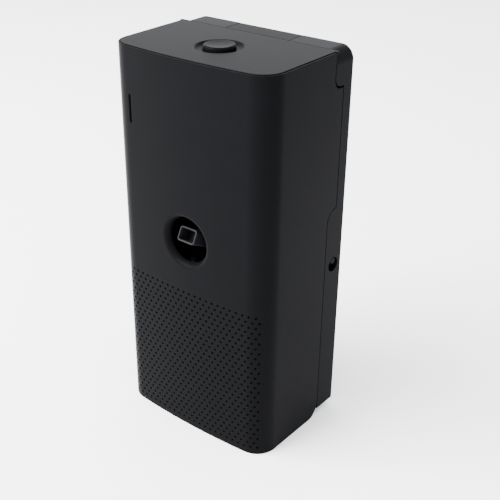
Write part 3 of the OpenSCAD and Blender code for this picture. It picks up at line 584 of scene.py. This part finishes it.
# ---------- pieces with softened edges ----------

def softened(node, name, radius):
    """A copy of a CAD node's shape whose sharp edges are rounded, so that they catch the light."""
    shape = bmesh.new()
    shape.from_mesh(NODES[node].data)
    bmesh.ops.remove_doubles(shape, verts=shape.verts, dist=WELD_M)
    bmesh.ops.dissolve_limit(shape, angle_limit=FLAT_ANGLE, verts=shape.verts, edges=shape.edges)
    edges = [e for e in shape.edges if len(e.link_faces) == 2 and e.calc_face_angle(0) > ROUNDED_ANGLE]
    bmesh.ops.bevel(shape, geom=edges, offset=radius * MM, offset_type="OFFSET", segments=2, profile=0.5,
                    affect="EDGES", clamp_overlap=True)
    mesh = bpy.data.meshes.new(name)
    shape.to_mesh(mesh)
    shape.free()
    return add_piece(mesh)


# ---------- materials ----------

GRAIN_SCALE = 2500
GRAIN_HEIGHT = 0.00006
BLACK_SHEEN = (0.8, 0.82, 1.0)


class Finish:
    """A procedural material: two close tints mottled by noise, with grain in its bump and roughness."""

    def __init__(self, name, tint, other, scale=60, roughness=(0.45, 0.6), metallic=0.0, grain=0.0,
                 ior=1.45, specular_tint=(1, 1, 1)):
        self.material = bpy.data.materials.new(name)
        self.material.use_nodes = True
        self.nodes = self.material.node_tree.nodes
        self.links = self.material.node_tree.links
        self.shader = self.nodes["Principled BSDF"]
        self.shader.inputs["Metallic"].default_value = metallic
        self.shader.inputs["IOR"].default_value = ior
        self.shader.inputs["Specular Tint"].default_value = (*specular_tint, 1)
        self.place = self.nodes.new("ShaderNodeTexCoord").outputs["Object"]
        mottle = self.noise(scale, 4)
        mix = self.nodes.new("ShaderNodeMix")
        mix.data_type = "RGBA"
        mix.inputs["A"].default_value = (*tint, 1)
        mix.inputs["B"].default_value = (*other, 1)
        self.links.new(mottle, mix.inputs["Factor"])
        self.links.new(mix.outputs["Result"], self.shader.inputs["Base Color"])
        spots = self.noise(GRAIN_SCALE, 2)
        rough = self.nodes.new("ShaderNodeMapRange")
        rough.inputs["To Min"].default_value = roughness[0]
        rough.inputs["To Max"].default_value = roughness[1]
        self.links.new(spots, rough.inputs["Value"])
        self.links.new(rough.outputs["Result"], self.shader.inputs["Roughness"])
        if grain:
            bump = self.nodes.new("ShaderNodeBump")
            bump.inputs["Strength"].default_value = grain
            bump.inputs["Distance"].default_value = GRAIN_HEIGHT
            self.links.new(spots, bump.inputs["Height"])
            self.links.new(bump.outputs["Normal"], self.shader.inputs["Normal"])

    def noise(self, scale, detail):
        noise = self.nodes.new("ShaderNodeTexNoise")
        noise.inputs["Scale"].default_value = scale
        noise.inputs["Detail"].default_value = detail
        self.links.new(self.place, noise.inputs["Vector"])
        return noise.outputs["Fac"]


def plastic(name, tint, other, **options):
    return Finish(name, tint, other, **options).material


def metal(name, tint, other):
    return Finish(name, tint, other, scale=150, roughness=(0.22, 0.38), metallic=1.0, grain=0.15).material


# Slot, level of the tint and options
BLACKS = [
    ("shell_black", 0.0023, dict(ior=1.065, roughness=(0.3, 0.42), grain=0.3)),
    ("cap_black", 0.003, dict(ior=1.06, roughness=(0.32, 0.44), grain=0.3)),
    # keeper_black: level set above shell_black so that the keeper reads as light as the rear strip; painted
    # light
    ("keeper_black", 0.003, dict(ior=1.066, roughness=(0.34, 0.5), grain=0.6)),
    # button_black: level lowered so that the button's top reads darker; painted shade
    ("button_black", 0.0022, dict(ior=1.058, roughness=(0.3, 0.4), grain=0.15)),
    # spout_black: level raised well above the other blacks so that the spout's lit front edge reads brighter
    # inside the port; painted highlight
    ("spout_black", 0.009, dict(ior=1.14, roughness=(0.3, 0.42), grain=0.15)),
    ("frame_plastic", 0.006, dict(ior=1.1, roughness=(0.45, 0.6), grain=0.3)),
    ("smoked_lens", 0.002, dict(ior=1.12, roughness=(0.08, 0.16))),
    ("chip_black", 0.006, dict(ior=1.12, roughness=(0.4, 0.55), grain=0.3)),
    ("knob_black", 0.006, dict(ior=1.12, roughness=(0.4, 0.55), grain=0.3)),
]
# Slot, darker and lighter tint
METALS = [
    ("steel", (0.24, 0.24, 0.245), (0.3, 0.3, 0.3)),
    ("spring_steel", (0.2, 0.2, 0.21), (0.26, 0.26, 0.26)),
    ("tinplate", (0.27, 0.265, 0.25), (0.33, 0.325, 0.31)),
    ("motor_steel", (0.22, 0.22, 0.225), (0.27, 0.27, 0.265)),
    ("brass", (0.3, 0.2, 0.07), (0.36, 0.25, 0.1)),
    ("contact_metal", (0.26, 0.26, 0.25), (0.32, 0.315, 0.3)),
    ("switch_metal", (0.24, 0.24, 0.24), (0.29, 0.29, 0.285)),
]
# Slot, darker and lighter tint, and options
PLASTICS = [
    ("can_paint", (0.12, 0.13, 0.145), (0.15, 0.16, 0.17), dict(roughness=(0.22, 0.3), ior=1.25)),
    ("valve_plastic", (0.3, 0.3, 0.28), (0.35, 0.35, 0.33), dict(ior=1.2)),
    ("gear_plastic", (0.29, 0.285, 0.255), (0.34, 0.335, 0.31), dict(roughness=(0.3, 0.45), ior=1.2)),
    ("endcap_plastic", (0.28, 0.275, 0.25), (0.33, 0.325, 0.3), dict(ior=1.2)),
    ("wire_jacket", (0.12, 0.004, 0.004), (0.16, 0.008, 0.008), dict(roughness=(0.35, 0.5), ior=1.2)),
    ("cell_jacket", (0.008, 0.02, 0.07), (0.012, 0.03, 0.1), dict(roughness=(0.2, 0.32), ior=1.2)),
    ("board_green", (0.004, 0.035, 0.013), (0.008, 0.055, 0.02),
     dict(scale=300, roughness=(0.25, 0.4), ior=1.2)),
    ("capacitor_sleeve", (0.004, 0.005, 0.013), (0.008, 0.009, 0.022), dict(roughness=(0.2, 0.3), ior=1.2)),
    ("led_body", (0.04, 0.18, 0.05), (0.055, 0.22, 0.065), dict(roughness=(0.1, 0.18), ior=1.25)),
    ("sensor_body", (0.14, 0.04, 0.015), (0.17, 0.055, 0.022), dict(roughness=(0.2, 0.3), ior=1.25)),
]


def make_materials():
    """One finish for each material slot of the record. The studio is bright, so every tint is kept low."""
    made = {}
    for name, level, options in BLACKS:
        low = (level * 0.92, level * 0.92, level)
        high = (level * 1.12, level * 1.12, level * 1.25)
        made[name] = plastic(name, low, high, specular_tint=BLACK_SHEEN, **options)
    for name, tint, other in METALS:
        made[name] = metal(name, tint, other)
    for name, tint, other, options in PLASTICS:
        made[name] = plastic(name, tint, other, **options)
    return made


def paint_nodes(made):
    """Gives every shown CAD node the finish of its slot in the record."""
    for part in frame["record"]["subparts"]:
        node = NODES[part["node"]]
        node.data.materials.clear()
        node.data.materials.append(made[part["material_slot"]])


# ---------- stage, lights and camera ----------

def build_stage():
    """Pale paper floor and an even, slightly blue surrounding."""
    bpy.ops.mesh.primitive_plane_add(size=6, location=(0, 0, 0))
    floor = bpy.context.object
    floor.name = "floor"
    floor.data.materials.append(plastic("floor_paper", (0.93, 0.93, 0.93), (0.95, 0.95, 0.95), scale=3,
                                        roughness=(0.8, 0.9), ior=1.1))
    world = bpy.data.worlds.new("studio")
    bpy.context.scene.world = world
    world.use_nodes = True
    background = world.node_tree.nodes["Background"]
    background.inputs["Color"].default_value = (0.96, 0.97, 1.0, 1)
    background.inputs["Strength"].default_value = 3.2


def add_light(name, location, target, size, power):
    """Rectangular lamp at a location, aimed at a target."""
    light = bpy.data.lights.new(name, "AREA")
    light.shape = "RECTANGLE"
    light.size, light.size_y = size
    light.energy = power
    lamp = bpy.data.objects.new(name, light)
    bpy.context.scene.collection.objects.link(lamp)
    lamp.location = location
    lamp.rotation_euler = (Vector(target) - Vector(location)).to_track_quat("-Z", "Y").to_euler()


def build_camera():
    """Camera with its axes, place, lens and shift."""
    right = Vector((0.75719, 0.65309, -0.01182))
    up = Vector((-0.30857, 0.37359, 0.87477))
    forward = Vector((-0.57572, 0.65872, -0.48440))
    eye = Vector((0.28686, -0.34757, 0.33863))
    camera = bpy.data.cameras.new("camera")
    camera.lens = 66.55
    camera.shift_x = 0.0895
    camera.shift_y = 0.0352
    viewer = bpy.data.objects.new("camera", camera)
    turn = Matrix((right, up, -forward)).transposed()
    viewer.matrix_world = Matrix.Translation(eye) @ turn.to_4x4()
    bpy.context.scene.collection.objects.link(viewer)
    bpy.context.scene.camera = viewer


# ---------- the scene ----------

build_camera()
build_stage()
add_light("key", location=(-0.6, -0.8, 0.9), target=(0, 0, 0.1), size=(1.2, 1.2), power=110)
add_light("top", location=(-0.55, 0.65, 0.75), target=(0, 0, 0.2), size=(0.9, 0.6), power=3)

finishes = make_materials()
# Each new piece with its body, its material slot and the CAD node that it stands for
new_pieces = [
    (build_cover(), "cover", "shell_black", "front_shell"),
    (build_cap(), "cover", "cap_black", "top_cap"),
    (build_button(), "button", "button_black", "release_button"),
    (build_spring(), "button", "spring_steel", "button_spring"),
    (build_spray_head(), "spray", "spout_black", "spray_head"),
    (softened("rear_shell", "rear_case", 0.3), "base", "shell_black", "rear_shell"),
    (softened("latch_keeper", "keeper_plate", 0.2), "base", "keeper_black", "latch_keeper"),
]
for piece, body, slot, node in new_pieces:
    place(piece, body, node, finishes[slot])
spring = bpy.data.objects["coil_spring"]
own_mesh(spring)
paint_nodes(finishes)
